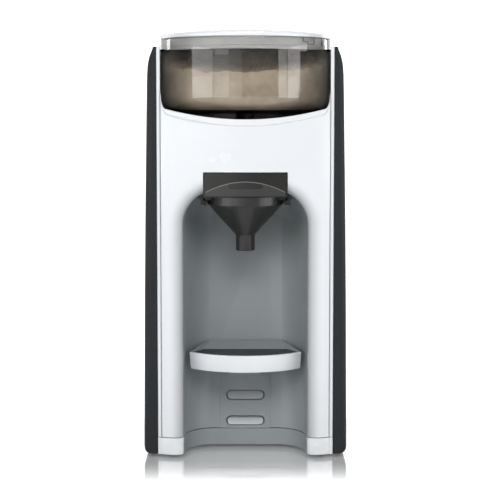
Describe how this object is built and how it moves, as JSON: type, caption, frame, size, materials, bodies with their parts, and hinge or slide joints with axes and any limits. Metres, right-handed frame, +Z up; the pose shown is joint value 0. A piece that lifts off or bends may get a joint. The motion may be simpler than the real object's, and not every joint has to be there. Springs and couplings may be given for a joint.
{
  "type": "formula dispenser",
  "caption": "Countertop machine that mixes milk powder from a top container with warm water into a bottle on a movable stand.",
  "frame": {"origin": "on the counter under the middle of the machine", "axes": "+Z up, -Y towards the user, +X to the right seen from the front"},
  "size_m": [0.1612, 0.29, 0.3395],
  "materials": {
    "white_plastic": "smooth moulded white, semi-gloss",
    "grey_plastic": "satin mid grey",
    "charcoal_plastic": "satin charcoal",
    "black_plastic": "satin black",
    "smoky_plastic": "dark translucent gloss",
    "clear_plastic": "smoky clear gloss",
    "rubber": "matt",
    "steel": "plain steel",
    "gear_plastic": "natural acetal",
    "aluminium": "cast",
    "display_glass": "dark gloss window",
    "key_plastic": "satin grey",
    "circuit_board": "laminate",
    "silicone": "milky silicone",
    "float_plastic": "orange"
  },
  "bodies": {
    "machine": {"base_tray": "white_plastic", "front_housing": "white_plastic", "left_side_frame": "white_plastic", "right_side_frame": "white_plastic", "base_bay_trim": "grey_plastic", "bay_liner": "grey_plastic", "slot_plate": "grey_plastic", "left_side_cover": "charcoal_plastic", "right_side_cover": "charcoal_plastic", "top_deck": "charcoal_plastic", "rear_housing": "charcoal_plastic", "tank_dock": "charcoal_plastic", "container_seat": "black_plastic", "gearbox_case": "black_plastic", "powder_chute": "black_plastic", "water_nozzle": "black_plastic", "funnel_frame": "black_plastic", "water_pump": "black_plastic", "power_inlet": "black_plastic", "control_bezel": "black_plastic", "foot_1": "rubber", "foot_2": "rubber", "foot_3": "rubber", "foot_4": "rubber", "base_screw_1": "steel", "base_screw_2": "steel", "base_screw_3": "steel", "base_screw_4": "steel", "drive_motor": "steel", "water_heater": "aluminium", "display_lens": "display_glass", "main_board": "circuit_board", "power_board": "circuit_board", "control_board": "circuit_board", "pump_inlet_hose": "silicone", "pump_outlet_hose": "silicone", "nozzle_hose": "silicone"},
    "powder_container_body": {"powder_container": "clear_plastic"},
    "lid_body": {"container_lid": "white_plastic"},
    "stirring_wheel_body": {"stirring_wheel": "black_plastic"},
    "drive_gear_body": {"drive_gear": "gear_plastic"},
    "drive_pinion_body": {"drive_pinion": "steel"},
    "funnel_body": {"funnel": "smoky_plastic", "funnel_shield": "smoky_plastic"},
    "stand_body": {"bottle_stand": "white_plastic", "stand_bracket": "grey_plastic"},
    "stand_pad_body": {"stand_pad": "black_plastic"},
    "water_tank_body": {"water_tank": "clear_plastic"},
    "tank_lid_body": {"tank_lid": "charcoal_plastic"},
    "tank_valve_body": {"tank_valve": "black_plastic"},
    "level_float_body": {"level_float": "float_plastic"},
    "power_button_body": {"power_button": "key_plastic"},
    "start_button_body": {"start_button": "key_plastic"},
    "volume_up_button_body": {"volume_up_button": "key_plastic"},
    "volume_down_button_body": {"volume_down_button": "key_plastic"},
    "temperature_button_body": {"temperature_button": "key_plastic"},
    "powder_setting_button_body": {"powder_setting_button": "key_plastic"}
  },
  "joints": [
    {"name": "container_lift", "type": "slide", "parent": "machine", "child": "powder_container_body", "axis": [0, 0, 1], "range_m": [0, 0.075]},
    {"name": "lid_lift", "type": "slide", "parent": "powder_container_body", "child": "lid_body", "axis": [0, 0, 1], "range_m": [0, 0.04]},
    {"name": "stirring_wheel_turn", "type": "hinge", "parent": "powder_container_body", "child": "stirring_wheel_body", "pos_m": [0, -0.071, 0.2751], "axis": [0, 0, 1], "continuous": true},
    {"name": "drive_gear_turn", "type": "hinge", "parent": "machine", "child": "drive_gear_body", "pos_m": [0, -0.071, 0.247], "axis": [0, 0, 1], "continuous": true},
    {"name": "drive_pinion_turn", "type": "hinge", "parent": "machine", "child": "drive_pinion_body", "pos_m": [0, -0.035, 0.246], "axis": [0, 0, 1], "continuous": true},
    {"name": "funnel_slide", "type": "slide", "parent": "machine", "child": "funnel_body", "axis": [0, -1, 0], "range_m": [0, 0.09]},
    {"name": "stand_slide", "type": "slide", "parent": "machine", "child": "stand_body", "axis": [0, -1, 0], "range_m": [0, 0.06]},
    {"name": "stand_pad_lift", "type": "slide", "parent": "stand_body", "child": "stand_pad_body", "axis": [0, 0, 1], "range_m": [0, 0.03]},
    {"name": "tank_lift", "type": "slide", "parent": "machine", "child": "water_tank_body", "axis": [0, 0, 1], "range_m": [0, 0.08]},
    {"name": "tank_lid_hinge", "type": "hinge", "parent": "water_tank_body", "child": "tank_lid_body", "pos_m": [0, 0.1435, 0.3102], "axis": [-1, 0, 0], "range_deg": [0, 100]},
    {"name": "tank_valve_lift", "type": "slide", "parent": "water_tank_body", "child": "tank_valve_body", "axis": [0, 0, 1], "range_m": [0, 0.003], "stiffness_N_per_m": 120, "springref_m": -0.002},
    {"name": "level_float_rise", "type": "slide", "parent": "water_tank_body", "child": "level_float_body", "axis": [0, 0, 1], "range_m": [0, 0.18]},
    {"name": "power_button_press", "type": "slide", "parent": "machine", "child": "power_button_body", "axis": [-0.9999, 0, -0.0135], "range_m": [0, 0.001], "stiffness_N_per_m": 500, "springref_m": -0.0006},
    {"name": "start_button_press", "type": "slide", "parent": "machine", "child": "start_button_body", "axis": [-0.9999, 0, -0.0135], "range_m": [0, 0.001], "stiffness_N_per_m": 500, "springref_m": -0.0006},
    {"name": "volume_up_button_press", "type": "slide", "parent": "machine", "child": "volume_up_button_body", "axis": [-0.9999, 0, -0.0135], "range_m": [0, 0.001], "stiffness_N_per_m": 500, "springref_m": -0.0006},
    {"name": "volume_down_button_press", "type": "slide", "parent": "machine", "child": "volume_down_button_body", "axis": [-0.9999, 0, -0.0135], "range_m": [0, 0.001], "stiffness_N_per_m": 500, "springref_m": -0.0006},
    {"name": "temperature_button_press", "type": "slide", "parent": "machine", "child": "temperature_button_body", "axis": [-0.9999, 0, -0.0135], "range_m": [0, 0.001], "stiffness_N_per_m": 500, "springref_m": -0.0006},
    {"name": "powder_setting_button_press", "type": "slide", "parent": "machine", "child": "powder_setting_button_body", "axis": [-0.9999, 0, -0.0135], "range_m": [0, 0.001], "stiffness_N_per_m": 500, "springref_m": -0.0006}
  ],
  "couplings": [
    {"joint": "stirring_wheel_turn", "follows": "drive_gear_turn", "ratio": 1},
    {"joint": "drive_pinion_turn", "follows": "drive_gear_turn", "ratio": -4}
  ]
}
